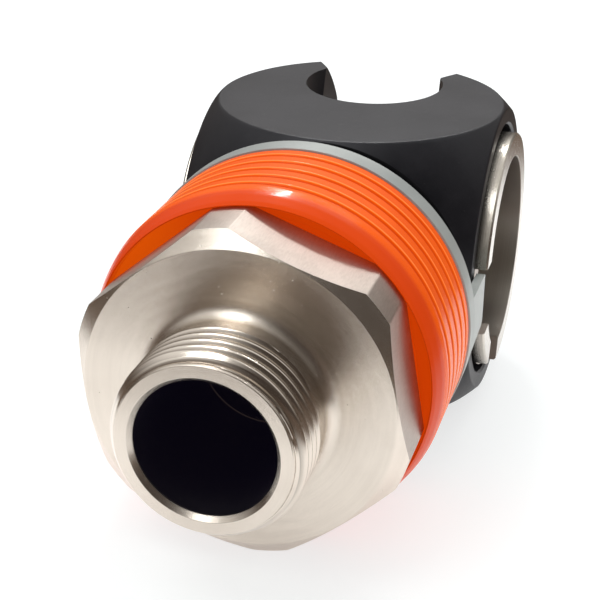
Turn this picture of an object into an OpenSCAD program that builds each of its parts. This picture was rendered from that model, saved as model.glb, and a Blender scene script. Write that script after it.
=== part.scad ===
// Tank swing coupler: a black shell with a keyhole mouth, a turning steel drum
// that takes the tank's stub, a sliding lock collar and a swivelling threaded nipple.
// Units are mm. The origin is where the hose axis (Y) crosses the swing axis (X).
// The nipple points along -Y, the mouth is on top (+Z) and the slot is at the back (+Y).

/* [Shell] */
// wall of the shell over the drum, where its flats are nearest
shell_wall = 4.43; // [4.2:0.01:4.8]
// how far the shell's ball stands out past the planes of its flats
ball_proud = 11.97; // [11.7:0.01:12.2]
// how far the shell's front boss stands out
boss_height = 4.1; // [3.5:0.1:4.2]
// outside radius of the front boss
boss_r = 25; // [24:0.5:26]

/* [Mouth and slot] */
// how far the shell swings from entering to straight, in degrees
swing_angle = 68; // [66:1:70]
// radius of the keyhole mouth
mouth_r = 14.5; // [14.3:0.1:14.9]
// half the width of the slot round the back
slot_half = 12.75; // [12.5:0.05:13]
// depth of the slot's bevel under the shell's ball
slot_bevel = 5.7; // [5.3:0.1:6.1]

/* [Drum] */
// radius of the drum where it shows in the side openings
drum_r = 24.47; // [24.3:0.01:24.6]
// how far the drum stands out past each side of the shell
drum_proud = 2.29; // [2:0.01:2.6]
// how much larger the drum's middle is than its ends
drum_step = 0.63; // [0.5:0.01:0.75]
// radius of the recess in each end of the drum
recess_r = 19.67; // [19:0.1:20]
// depth of the recess in each end of the drum
recess_depth = 14.6; // [12:0.1:14.8]
// radius of the drum's socket for the stub's head
socket_r = 14.4; // [14.2:0.1:14.4]
// distance from the swing axis to the socket's floor
socket_floor = 15.5; // [15:0.1:16.5]
// half the width of the notches that take the collar's tongues
notch_half = 5.3; // [5.3:0.1:6]
// how far the front notch is opened on its lower side
notch_relief = 3; // [2:0.1:4]

/* [Flow way] */
// radius of the bore all the way through
bore_r = 12.1; // [11.5:0.1:12.1]
// wall of the seat ring that seals on the drum
seat_wall = 3.3; // [3:0.1:3.4]
// how much wider the bore is past the nipple's thread
bore_step = 0.5; // [0.3:0.1:0.6]
// length of the plain bore behind the nipple's end face
plain_bore = 33.4; // [33:0.1:35]

/* [Nipple] */
// outside radius of the thread
thread_r = 16.62; // [16.5:0.01:16.8]
// how far the nipple stands out in front of the hexagon
nipple_reach = 17.1; // [16.6:0.1:17.8]
// length of the thread with its lead-in
thread_length = 11.3; // [11:0.1:11.8]
// radius of the neck between the thread and the hexagon
nipple_neck_r = 15.9; // [15.6:0.1:16.2]
// width of the hexagon across its flats
hex_flats = 55.2; // [54.6:0.1:55.4]
// radius of the hexagon's turned corners
hex_corner_r = 30.2; // [29.8:0.1:30.2]
// thickness of the hexagon
hex_thick = 13.4; // [13:0.1:13.8]
// how much the hexagon's front bevel falls back for each mm outwards
hex_slope = 0.85; // [0.6:0.05:1]
// radius where the hexagon's front bevel starts
hex_face_r = 27.4; // [26.8:0.1:27.6]
// how far the hexagon is turned round the hose axis, in degrees
hex_turn = 10; // [0:0.1:30]
// radius of the spigot that turns in the neck tube
spigot_r = 15.5; // [15.4:0.05:15.6]
// radius of the bearing balls
ball_r = 1.6; // [1.5:0.05:1.6]
// number of balls in each row
ball_count = 28; // [24:1:28]

/* [Neck tube] */
// wall of the neck tube round the spigot
neck_wall = 4.7; // [4.6:0.05:4.9]
// how far the neck tube stands out in front of the shell's boss
neck_reach = 32.47; // [32.2:0.01:32.7]
// how far the neck tube goes in behind the shell's front flat
neck_seat = 2.23; // [2.1:0.01:2.4]
// width of the wiper ring between the neck tube and the hexagon
wiper_width = 1.2; // [1.1:0.1:1.4]

/* [Lock collar] */
// how far the collar's band stands out past its tongues
collar_lip = 0.85; // [0.7:0.05:1]
// gap left between the shell's boss and the band's rear face when locked
collar_gap = 0.52; // [0.4:0.01:0.8]
// width of the band
collar_band = 4.6; // [4.2:0.1:5]
// how far the collar slides to lock
lock_travel = 5; // [4.5:0.1:5]
// half the width of each tongue
tongue_half = 4.9; // [4.6:0.1:4.9]
// thickness of each tongue
tongue_thick = 1.7; // [1.5:0.1:1.8]

/* [Grip] */
// how far the grip's outside lies below the collar's band
grip_step = 0.3; // [0.1:0.1:0.5]
// wall of the grip
grip_wall = 5.9; // [5.4:0.1:6]
// thickness of the grip's flange over the end of the collar's tube
grip_flange = 1.5; // [1.2:0.1:1.8]
// how far the grip's lip comes forward round the hexagon
grip_overlap = 1.7; // [1.5:0.1:1.9]
// pitch of the fine grooves
groove_pitch = 3.85; // [3.6:0.05:4.1]
// depth of the fine grooves
groove_depth = 0.35; // [0.2:0.05:0.5]

/* [Hidden] */
$fn = 96;
running = 0.3;
drum_mid_r = drum_r + drum_step;
drum_bore_r = drum_mid_r + running;
half = drum_bore_r + shell_wall;
shell_ball_r = half + ball_proud;
slot_bevel_r = shell_ball_r - slot_bevel;
drum_half = half + drum_proud;
boss_front = half + boss_height;
neck_inner = half - neck_seat;
neck_front = boss_front + neck_reach;
hex_rear = neck_front + wiper_width + running;
hex_front = hex_rear + hex_thick;
nipple_end = hex_front + nipple_reach;
bore_step_y = nipple_end - plain_bore;
collar_rear = boss_front + lock_travel + collar_gap;
grip_front = hex_rear + grip_overlap;
// long enough to cut right through
through = 2 * nipple_end;
bush_width = 3.6;
bush_wall = 1.33;
side_opening_r = drum_r + running + bush_wall;
bush_out = half - 6.03;
bush_in = bush_out - bush_width;
clip_thick = 1.4;
clip_r = side_opening_r + 1;
drum_shoulder = bush_in - running;
drum_seal_x = bush_in - 2.2;
seal_r = 1.2;
seat_r = bore_r + seat_wall;
seat_back = boss_front - 2.63;
seat_seal_y = seat_back - 2.2;
neck_seal_y = neck_inner + 3.4;
washer_thick = 0.9;
washer_room = 2.4;
socket_y = neck_inner + 8;
spigot_bore_r = spigot_r + running;
neck_r = spigot_bore_r + neck_wall;
spigot_end = socket_y + running;
swivel_seal_r = 1.15;
swivel_seal_groove = spigot_bore_r + 2 * swivel_seal_r - 0.2;
ball_y = [neck_front - 13.4, neck_front - 6.4];
swivel_seal_y = [ball_y[0] - 13, ball_y[0] - 8];
ball_ring_r = (spigot_r + spigot_bore_r) / 2;
race_r = ball_r + 0.12;
plug_r = 1.9;
plug_in = ball_ring_r + ball_r + 0.1;
collar_front = collar_rear + collar_band;
collar_in = neck_r + running;
stop_y = neck_front - 2;
stop_thick = 1.1;
stop_r = neck_r + 1.9;
stop_seat = neck_r - 1.1;
collar_tube_end = stop_y - running;
drag_r = 0.9;
drag_y = neck_front - 9.9;
drag_seat = neck_r + 0.22 - 2 * drag_r;
key_half = 2;
key_r = neck_r + 1.9;
key_y = [collar_rear + 2.55, collar_rear + 10.55];
key_seat = neck_r - 1.9;
tongue_in = half + 0.32;
tongue_out = tongue_in + tongue_thick;
collar_r = tongue_out + collar_lip;
grip_r = collar_r - grip_step;
collar_tube_r = grip_r - grip_wall;
tongue_tip = drum_r + running;
// the slot ends inside the mouth, so both run into each other
slot_top = swing_angle - 4;
slot_inner = drum_r / 4;
bevel_run = shell_ball_r / 3.5;
edge = 0.4;
notch_deep = 2.5;
screw_r = 2;
face_seal_land = 0.5;
face_seal_deep = 1.3;
face_seal_low = 0.05;
grip_in = collar_tube_r;
grip_land = 3.15;
lip_in = grip_r - 1.8;
grip_mouth_r = hex_corner_r + 0.35;
flange_in = stop_r + 0.9;
groove_first = collar_front + grip_land;
steel = [0.72, 0.69, 0.64];

// cylinder along Y from y = -a to y = -b, both given as distances in front
module bar(r, a, b) {
    translate([0, -b, 0]) rotate([90, 0, 0]) cylinder(r = r, h = a - b);
}

// ring along Y between two distances in front
module tube(ro, ri, a, b) {
    difference() {
        bar(ro, a, b);
        bar(ri, a + 1, b - 1);
    }
}

// cylinder along X from x = a to x = b
module roll(r, a, b) {
    translate([a, 0, 0]) rotate([0, 90, 0]) cylinder(r = r, h = b - a);
}

// a bevel round the mouth of a bore along X that opens at x = end
module rim_cut(r, end) {
    translate([end - edge, 0, 0]) rotate([0, 90, 0])
        cylinder(r1 = r, r2 = r + 1.4, h = 1.4);
}

// round ring about the hose axis
module y_ring(ring, sec, y) {
    translate([0, -y, 0]) rotate([90, 0, 0])
        rotate_extrude() translate([ring, 0]) circle(r = sec, $fn = 32);
}

// a profile in (radius, distance in front) turned about the hose axis
module turned() {
    rotate([90, 0, 0]) rotate_extrude() children();
}

// points the mouth's own axis along +Z of the children
module at_mouth() {
    rotate([swing_angle - 90, 0, 0]) children();
}

module shell() {
    color([0.16, 0.16, 0.17]) difference() {
        union() {
            intersection() {
                cube(2 * half, center = true);
                sphere(r = shell_ball_r);
            }
            turned() polygon([[0, half - 1], [boss_r, half - 1], [boss_r, boss_front - edge],
                [boss_r - edge, boss_front], [0, boss_front]]);
        }
        roll(drum_bore_r, -half - 1, half + 1);
        for (s = [0, 1]) rotate([0, s * 180, 0]) {
            roll(side_opening_r, bush_in, half + 1);
            roll(clip_r, bush_out, bush_out + clip_thick);
            rim_cut(side_opening_r, half);
        }
        bar(neck_r, boss_front + 1, neck_inner);
        bar(seat_r, boss_front, drum_mid_r / 2);
        at_mouth() cylinder(r = mouth_r, h = through);
        rotate([0, 90, 0]) rotate([0, 0, 90]) rotate_extrude(angle = slot_top)
            polygon([[slot_inner, -slot_half], [slot_bevel_r, -slot_half],
                [slot_bevel_r + bevel_run, -slot_half - bevel_run],
                [slot_bevel_r + bevel_run, slot_half + bevel_run],
                [slot_bevel_r, slot_half], [slot_inner, slot_half]]);
        rotate([-90, 0, 0]) cylinder(r = slot_half, h = through);
        translate([0, -(boss_front + neck_inner) / 2 - 1, -boss_r - 1])
            cylinder(r = screw_r, h = boss_r + 2 - neck_r);
    }
}

module neck_tube() {
    color(steel) difference() {
        bar(neck_r, neck_front, neck_inner);
        bar(seat_r, seat_back + washer_room, neck_inner - 1);
        bar(bore_r + bore_step, socket_y + 1, neck_inner - 1);
        bar(spigot_bore_r, neck_front + 1, socket_y);
        for (y = ball_y) {
            y_ring(ball_ring_r, race_r, y);
            rotate([0, 90, 0]) translate([0, -y, ball_ring_r - plug_r]) cylinder(r = plug_r, h = neck_r);
        }
        for (y = swivel_seal_y) tube(swivel_seal_groove, spigot_r - 2, y + 1.5, y - 1.5);
        y_ring(neck_r, seal_r, neck_seal_y);
        tube(neck_r + 3, stop_seat, stop_y + stop_thick, stop_y);
        y_ring(drag_seat + drag_r, drag_r, drag_y);
        for (s = [-1, 1]) translate([-key_half, -key_y[1], s > 0 ? key_seat : -key_r - 1])
            cube([2 * key_half, key_y[1] - key_y[0], key_r + 1 - key_seat]);
    }
}

module neck_set_screw() {
    color([0.25, 0.25, 0.26]) translate([0, -(boss_front + neck_inner) / 2 - 1, 0]) difference() {
        translate([0, 0, -boss_r + 0.6]) cylinder(r = screw_r, h = boss_r - 0.6 - neck_r);
        translate([0, 0, -boss_r]) cylinder(r = 1, h = 2.2, $fn = 6);
    }
}

module neck_oring() {
    color([0.1, 0.1, 0.1]) intersection() {
        y_ring(neck_r, seal_r, neck_seal_y);
        bar(neck_r, neck_seal_y + 2 * seal_r, neck_seal_y - 2 * seal_r);
    }
}

module seat_ring() {
    color([0.93, 0.92, 0.88]) difference() {
        bar(seat_r, seat_back, drum_mid_r / 2);
        bar(bore_r, seat_back + 1, 0);
        roll(drum_mid_r + running, -through, through);
        y_ring(seat_r, seal_r, seat_seal_y);
    }
}

module seat_oring() {
    color([0.1, 0.1, 0.1]) intersection() {
        y_ring(seat_r, seal_r, seat_seal_y);
        bar(seat_r, seat_seal_y + 2 * seal_r, seat_seal_y - 2 * seal_r);
    }
}

module seat_washers() {
    color([0.62, 0.62, 0.6]) turned() for (k = [0, 1]) translate([0, seat_back + k * washer_room])
        scale([1, k == 0 ? 1 : -1]) polygon([[bore_r + 1, 0.3], [seat_r - 0.4, 0],
            [seat_r - 0.4, washer_thick], [bore_r + 1, washer_room / 2]]);
}

module end_notch(low) {
    translate([drum_half - notch_deep, -drum_mid_r - 1, -notch_half - low])
        cube([2 * notch_deep, drum_mid_r + 1 - recess_r + notch_deep, 2 * notch_half + low]);
}

module drum() {
    color(steel) difference() {
        union() {
            rotate([0, 90, 0]) rotate_extrude() polygon([[0, -drum_half],
                [drum_r - edge, -drum_half], [drum_r, -drum_half + edge],
                [drum_r, drum_half - edge], [drum_r - edge, drum_half], [0, drum_half]]);
            roll(drum_mid_r, -drum_shoulder, drum_shoulder);
        }
        for (s = [0, 1]) mirror([s, 0, 0]) {
            roll(recess_r, drum_half - recess_depth, drum_half + 1);
            translate([drum_half - 0.7, 0, 0]) rotate([0, 90, 0])
                cylinder(r1 = recess_r, r2 = recess_r + 1.5, h = 1.5);
            end_notch(notch_relief);
            rotate([swing_angle, 0, 0]) end_notch(0);
            rotate([0, 90, 0]) translate([0, 0, drum_seal_x])
                rotate_extrude() translate([drum_mid_r, 0]) circle(r = seal_r, $fn = 32);
        }
        at_mouth() {
            cylinder(r = bore_r, h = through, center = true);
            translate([0, 0, socket_floor]) cylinder(r = socket_r, h = drum_mid_r);
            face_seal(0);
        }
    }
}

// square ring in the socket's floor; its top lies low under the floor
module face_seal(low) {
    translate([0, 0, socket_floor - face_seal_deep]) rotate_extrude()
        translate([bore_r + face_seal_land, 0])
            square([socket_r - bore_r - 2 * face_seal_land, face_seal_deep - low + (low > 0 ? 0 : 1)]);
}

module drum_seal(x) {
    color([0.1, 0.1, 0.1]) intersection() {
        rotate([0, 90, 0]) translate([0, 0, x])
            rotate_extrude() translate([drum_mid_r, 0]) circle(r = seal_r, $fn = 32);
        roll(drum_mid_r, -through, through);
    }
}

module drum_oring_left() { drum_seal(-drum_seal_x); }

module drum_oring_right() { drum_seal(drum_seal_x); }

module socket_seal() {
    color([0.1, 0.1, 0.1]) at_mouth() face_seal(face_seal_low);
}

module bush() {
    color([0.55, 0.43, 0.24]) difference() {
        roll(side_opening_r, bush_in, bush_out);
        roll(drum_r + running, 0, through);
    }
}

module bush_left() { mirror([1, 0, 0]) bush(); }

module bush_right() { bush(); }

module circlip() {
    color([0.2, 0.2, 0.21]) difference() {
        roll(clip_r, bush_out, bush_out + clip_thick);
        roll(drum_r + running + 0.3, 0, through);
        translate([0, -3, -drum_r - 6]) cube([half, 6, 6]);
    }
}

module circlip_left() { mirror([1, 0, 0]) circlip(); }

module circlip_right() { circlip(); }

module hose_nipple() {
    color(steel) difference() {
        union() {
            intersection() {
                translate([0, -hex_rear, 0]) rotate([90, 0, 0]) rotate([0, 0, 90 + hex_turn])
                    cylinder(r = hex_flats / sqrt(3), h = hex_thick, $fn = 6);
                turned() polygon([[0, hex_rear - 1], [hex_corner_r - 0.5, hex_rear - 1],
                    [hex_corner_r - 0.5, hex_rear], [hex_corner_r, hex_rear + 0.4],
                    [hex_corner_r, hex_front - (hex_corner_r - hex_face_r) * hex_slope],
                    [hex_face_r, hex_front], [0, hex_front]]);
            }
            turned() polygon([[bore_r / 2, spigot_end], [spigot_r - 0.6, spigot_end],
                [spigot_r, spigot_end + 0.6], [spigot_r, hex_rear + 1],
                [nipple_neck_r, hex_rear + 1], [nipple_neck_r + 2.2, hex_front - 0.1],
                [nipple_neck_r + 1, hex_front + 0.15], [nipple_neck_r + 0.3, hex_front + 0.45],
                [nipple_neck_r, hex_front + 0.9], [nipple_neck_r, nipple_end - thread_length],
                [thread_r, nipple_end - thread_length + 0.7], [thread_r, nipple_end - 1.7],
                [thread_r - 1.62, nipple_end], [bore_r / 2, nipple_end]]);
        }
        bar(bore_r, nipple_end + 1, spigot_end - 1);
        bar(bore_r + bore_step, bore_step_y, spigot_end - 1);
        translate([0, -nipple_end + 0.9, 0]) rotate([90, 0, 0])
            cylinder(r1 = bore_r, r2 = bore_r + 1.6, h = 1.8);
        for (y = ball_y) y_ring(ball_ring_r, race_r, y);
    }
}

module ball_row(y) {
    color([0.8, 0.8, 0.8]) for (k = [0:ball_count - 1]) rotate([0, k * 360 / ball_count, 0])
        translate([ball_ring_r, -y, 0]) sphere(r = ball_r, $fn = 24);
}

module ball_row_front() { ball_row(ball_y[1]); }

module ball_row_rear() { ball_row(ball_y[0]); }

module ball_plugs() {
    color([0.6, 0.6, 0.58]) for (y = ball_y) rotate([0, 90, 0])
        translate([0, -y, plug_in]) difference() {
            cylinder(r = plug_r, h = neck_r - plug_in - 0.3);
            translate([-0.3, -2 * plug_r, neck_r - plug_in - 1])
                cube([0.6, 4 * plug_r, 2 * plug_r]);
        }
}

module swivel_oring(y) {
    color([0.1, 0.1, 0.1]) y_ring(swivel_seal_groove - swivel_seal_r, swivel_seal_r - 0.01, y);
}

module swivel_oring_front() { swivel_oring(swivel_seal_y[1]); }

module swivel_oring_rear() { swivel_oring(swivel_seal_y[0]); }

module wiper_ring() {
    color([0.12, 0.12, 0.12]) tube(neck_r - 1, spigot_bore_r, hex_rear - running, neck_front);
}

module tongue() {
    intersection() {
        union() {
            translate([tongue_in, -collar_rear - 1, -tongue_half])
                cube([tongue_thick, collar_rear + 1 - tongue_tip - tongue_half, 2 * tongue_half]);
            translate([tongue_in, -tongue_tip - tongue_half, 0]) rotate([0, 90, 0])
                cylinder(r = tongue_half, h = tongue_thick);
        }
        bar(collar_r, collar_rear + 2, 0);
    }
}

module lock_collar() {
    color([0.8, 0.82, 0.8]) union() {
        difference() {
            union() {
                turned() polygon([[0, collar_rear], [collar_r - edge, collar_rear],
                    [collar_r, collar_rear + edge], [collar_r, collar_front - edge / 2],
                    [collar_r - edge / 2, collar_front], [0, collar_front]]);
                bar(collar_tube_r, collar_tube_end - grip_flange, collar_rear + 1);
                bar(flange_in, collar_tube_end, collar_rear + 1);
            }
            bar(collar_in, collar_tube_end + 1, collar_rear - 1);
            for (s = [-1, 1])
                translate([-key_half - running, -collar_tube_end - 1, s > 0 ? key_seat : -key_r - 0.4])
                    cube([2 * (key_half + running), collar_tube_end - collar_rear + 2,
                        key_r + 0.4 - key_seat]);
        }
        for (s = [0, 1]) mirror([s, 0, 0]) tongue();
    }
}

module grip_sleeve() {
    color([0.96, 0.36, 0.05]) difference() {
        turned() polygon([[grip_in, collar_front], [grip_r, collar_front],
            [grip_r, grip_front - 6.4], [grip_r - 0.12, grip_front - 5.6],
            [grip_r - 0.32, grip_front - 4.4], [grip_r - 0.6, grip_front - 3],
            [grip_r - 0.95, grip_front - 1.7], [grip_r - 1.25, grip_front - 0.8],
            [grip_r - 1.5, grip_front - 0.2], [lip_in, grip_front],
            [grip_mouth_r, grip_front - 0.25], [grip_mouth_r, hex_rear - 0.6],
            [grip_in + 0.6, collar_tube_end], [flange_in, collar_tube_end],
            [flange_in, collar_tube_end - grip_flange], [grip_in, collar_tube_end - grip_flange]]);
        for (k = [0:4]) tube(grip_r + 2, grip_r - groove_depth,
            groove_first + k * groove_pitch + 0.35, groove_first + k * groove_pitch - 0.35);
    }
}

module guide_keys() {
    color([0.6, 0.6, 0.58]) for (s = [-1, 1])
        translate([-key_half, -key_y[1], s > 0 ? key_seat : -key_r])
            cube([2 * key_half, key_y[1] - key_y[0], key_r - key_seat]);
}

module drag_ring() {
    color([0.1, 0.1, 0.1]) y_ring(drag_seat + drag_r, drag_r, drag_y);
}

module stop_ring() {
    color([0.2, 0.2, 0.21]) difference() {
        tube(stop_r, stop_seat, stop_y + stop_thick, stop_y);
        translate([-2, -stop_y - stop_thick - 1, -stop_r - 1])
            cube([4, stop_thick + 2, stop_r - stop_seat + 3]);
    }
}

shell();
neck_tube();
neck_set_screw();
neck_oring();
seat_ring();
seat_oring();
seat_washers();
drum();
drum_oring_left();
drum_oring_right();
socket_seal();
bush_left();
bush_right();
circlip_left();
circlip_right();
hose_nipple();
ball_row_front();
ball_row_rear();
ball_plugs();
swivel_oring_front();
swivel_oring_rear();
wiper_ring();
lock_collar();
grip_sleeve();
guide_keys();
drag_ring();
stop_ring();
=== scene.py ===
import math

import bmesh
import bpy
import numpy as np
from mathutils import Matrix, Vector


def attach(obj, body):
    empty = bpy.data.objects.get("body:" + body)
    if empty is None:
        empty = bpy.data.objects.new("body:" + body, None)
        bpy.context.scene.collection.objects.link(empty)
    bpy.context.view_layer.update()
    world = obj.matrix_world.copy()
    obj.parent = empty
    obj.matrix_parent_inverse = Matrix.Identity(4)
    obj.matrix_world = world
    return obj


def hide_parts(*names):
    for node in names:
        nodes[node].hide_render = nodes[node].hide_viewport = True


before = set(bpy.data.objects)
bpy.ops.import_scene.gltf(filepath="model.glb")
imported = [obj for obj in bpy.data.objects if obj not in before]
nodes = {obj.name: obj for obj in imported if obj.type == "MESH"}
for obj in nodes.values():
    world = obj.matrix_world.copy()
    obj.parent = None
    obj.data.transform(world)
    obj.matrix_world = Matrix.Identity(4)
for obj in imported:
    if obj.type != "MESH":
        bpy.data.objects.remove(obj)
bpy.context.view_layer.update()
MM = 0.001

# Sizes in mm, most of them shared with the solids. A name ending in R is a radius. Places count
# forwards along the hose axis or outwards along the swing axis, and a pair is (low, high).

# shell
HALF, BALL_R = 29.83, 41.8
FLAT_R = math.sqrt(BALL_R**2 - HALF**2)
OPENING_R, OPENING_FLARE, OPENING_IN = 26.1, 0.45, 20.2
CLIP_R, CLIP_GROOVE = 27.1, (23.8, 25.2)
DRUM_WAY_R = 25.4
BOSS_R, BOSS_ROOT, BOSS_FRONT, BOSS_EDGE = 25.0, 28, 33.93, 0.4
NECK_R, NECK_IN, NECK_OUT = 20.5, 27.6, 36
SEAT_R, SEAT_IN = 15.4, 10
MOUTH_R, MOUTH_REACH = 14.5, 60
SLOT_HALF, SLOT_BEVEL_R, SLOT_BEVEL_REACH = 12.75, 36.1, 12.0
SWING = math.radians(68)

# drum; a notch is given by its edges across the rim, and is a little wider than in the solids
DRUM_R, DRUM_MID_R, DRUM_HALF, DRUM_SHOULDER = 24.47, 25.1, 32.12, 19.9
RECESS_R, RECESS_FLOOR = 19.67, 17.52
SOCKET_R, SOCKET_FLOOR = 14.4, 15.5
NOTCH_FRONT, NOTCH_SWUNG = (-9.4, 5.0), (-6.3, 5.3)
NOTCH_DEEP, NOTCH_ACROSS = 2.5, (-27, -17)

# nipple and its thread
BORE_R, BORE_REAR_R, BORE_LEDGE = 12.1, 12.6, 65.0
TAIL_R, TAIL_END = 15.5, 36.2
HEX_TURN = math.radians(10)
HEX_IN, HEX_OUT = 27.6, 30.2
HEX_REAR, HEX_SHOULDER, HEX_FRONT = 67.9, 78.92, 81.3
FACE_R = 27.4
SPIGOT_R, SPIGOT_END, CORE_R = 15.75, 87.0, 15.2
NIPPLE_END, END_R = 98.4, (12.9, 14.95)
THREAD_R, PITCH, THREAD_ROOT_R, THREAD_INSIDE_R = 16.62, 2.309, 15.15, 14.7
THREAD_PLACE = (86.6, 97.95)

# collar and grip; the tongue's outline is (y, z, corner radius)
COLLAR_R, COLLAR_REAR, COLLAR_FRONT = 32.7, 39.45, 44.05
COLLAR_BORE_R, COLLAR_TUBE_R, COLLAR_STEP_R = 20.8, 26.5, 23.3
COLLAR_TUBE_END, COLLAR_STEP = 64.1, 1.5
TONGUE_IN, TONGUE_OUT = 30.15, 31.85
TONGUE_ROOT = -COLLAR_REAR - 1.5
TONGUE_OUTLINE = [
    (TONGUE_ROOT, -7.2, 0),
    (-29.0, -6.1, 8.0),
    (-24.9, -5.9, 1.6),
    (-24.77, -1.0, 12.0),
    (-24.7, 4.6, 0.5),
    (TONGUE_ROOT, 4.9, 0),
]
GRIP_R, GRIP_FRONT = 32.4, 69.6
GROOVE_FIRST, GROOVE_PITCH, GROOVE_LAST = 47.2, 3.85, 4
GROOVE_HALF, GROOVE_DEEP = 0.85, 0.42

# where cutting tools end, past the outside; steps round turned pieces; angles in degrees; welding
PAST = 40
FINE_ROUND, ROUND, TOOL_ROUND = 224, 192, 128
SMOOTH_UNDER, BEVEL_OVER, FLAT_UNDER = 35.0, 32.0, 0.25
WELD, SOFTEN_WELD = 0.002, 0.01


# ---------------------------------------------------------------- node graphs

# numbers of outputs: object coordinates of Texture Coordinate, and the rays of Light Path
OBJECT_PLACE = 3
CAMERA_RAY, DIFFUSE_RAY, GLOSSY_RAY, TRANSMITTED_RAY = 0, 2, 3, 6


class Wire:
    """One output of a node; sums on it add Math nodes."""

    def __init__(self, graph, socket):
        self.graph, self.socket = graph, socket

    def sum(self, operation, *terms):
        return self.graph.node("ShaderNodeMath", {"operation": operation}, dict(enumerate(terms)))

    def __add__(self, other):
        return self.sum("ADD", self, other)

    def __sub__(self, other):
        return self.sum("SUBTRACT", self, other)

    def __mul__(self, other):
        return self.sum("MULTIPLY", self, other)

    def __truediv__(self, other):
        return self.sum("DIVIDE", self, other)

    def __pow__(self, other):
        return self.sum("POWER", self, other)

    def __rsub__(self, other):
        return self.sum("SUBTRACT", other, self)

    def __abs__(self):
        return self.sum("ABSOLUTE", self)

    __radd__, __rmul__ = __add__, __mul__

    def least(self, other):
        return self.sum("MINIMUM", self, other)

    def most(self, other):
        return self.sum("MAXIMUM", self, other)

    def step(self, low, high, a=0.0, b=1.0):
        """Goes smoothly from a to b as the value goes from low to high."""
        ends = {0: self, 1: low, 2: high, 3: a, 4: b}
        return self.graph.node("ShaderNodeMapRange", {"interpolation_type": "SMOOTHSTEP"}, ends)

    def blend(self, a, b):
        """Colour a where the value is 0 and b where it is 1."""
        return self.graph.node("ShaderNodeMix", {"data_type": "RGBA"}, {0: self, 6: a, 7: b}, out=2)


class Graph:
    """A tree of shader or geometry nodes."""

    def __init__(self, tree):
        self.tree = tree

    def node(self, kind, settings=None, inputs=None, out=0):
        """Makes a node, first with its settings and then with the values or links of its sockets."""
        made = self.tree.nodes.new(kind)
        for key, value in (settings or {}).items():
            setattr(made, key, value)
        for key, value in (inputs or {}).items():
            socket = made.inputs[key]
            if isinstance(value, Wire):
                self.tree.links.new(value.socket, socket)
            elif socket.type == "RGBA" and len(value) == 3:
                socket.default_value = (*value, 1.0)
            else:
                socket.default_value = value
        return Wire(self, made.outputs[out])

    def outs(self, wire):
        """Every output of the wire's node."""
        return [Wire(self, socket) for socket in wire.socket.node.outputs]

    def axes(self, vector):
        return self.outs(self.node("ShaderNodeSeparateXYZ", inputs={0: vector}))

    def join(self, x, y, z):
        return self.node("ShaderNodeCombineXYZ", inputs={0: x, 1: y, 2: z})

    def scaled(self, vector, factor):
        return self.node("ShaderNodeVectorMath", {"operation": "SCALE"}, {0: vector, "Scale": factor})

    def dot(self, vector, other):
        return self.node("ShaderNodeVectorMath", {"operation": "DOT_PRODUCT"}, {0: vector, 1: other}, out=1)


# ---------------------------------------------------------------- finishes

# depth of a bump, in metres, and the colours of turned steel
RELIEF, LATHE_RELIEF = 0.00005, 0.00004
STEEL_LIGHT, STEEL_DARK = (0.72, 0.66, 0.585), (0.59, 0.53, 0.465)
DRUM_LIGHT, DRUM_DARK = (0.64, 0.605, 0.545), (0.5, 0.465, 0.41)

# the drum's recess: painted shade on its wall, which turns dark between these heights above and at the
# bottom
RECESS_UPPER, RECESS_LOWER, RECESS_PAINTED_SHADE = (-9.0, 4.0), (-18.5, -14.0), (0.25, 0.215, 0.185)
# painted shade inside the nipple's bore, and a faint painted glow deep in it
BORE_PAINTED_SHADE, BORE_GLOW = (0.085, 0.08, 0.08), (0.0016, 0.0011, 0.0034)
# a painted highlight on the bore's ledge, made to glow
LEDGE_GLOW = (0.03, 0.021, 0.018)

# the grip's inner side, which has a stronger painted glow: its radius and place, and the x between which
# the glow turns from lit to less lit
INNER_R, INNER_PLACE, INNER_TURN = (30.35, 30.75), (61.0, 61.5), (-24.0, -6.0)
INNER_LIT, INNER_DIM = (1.0, 0.14, 0.003), (0.85, 0.075, 0.002)
ORANGE_LOW, ORANGE_HIGH = (0.69, 0.09, 0.001), (0.74, 0.106, 0.0015)
# painted shade in the grooves, and a painted highlight along each groove's edge
ORANGE_GROOVE_SHADE, ORANGE_EDGE_HIGHLIGHT = (0.42, 0.02, 0.0005), (0.95, 0.27, 0.06)
# a faint painted glow over the rest of the grip
GLOW_LOW, GLOW_HIGH = (0.37, 0.02, 0.0004), (0.4, 0.024, 0.0005)

# the collar: painted shade, heights between which its grey goes from one factor to the other, darker at the
# top
COLLAR_TOP, COLLAR_SHADE = (2.0, 27.0), (1.05, 0.72)


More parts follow.
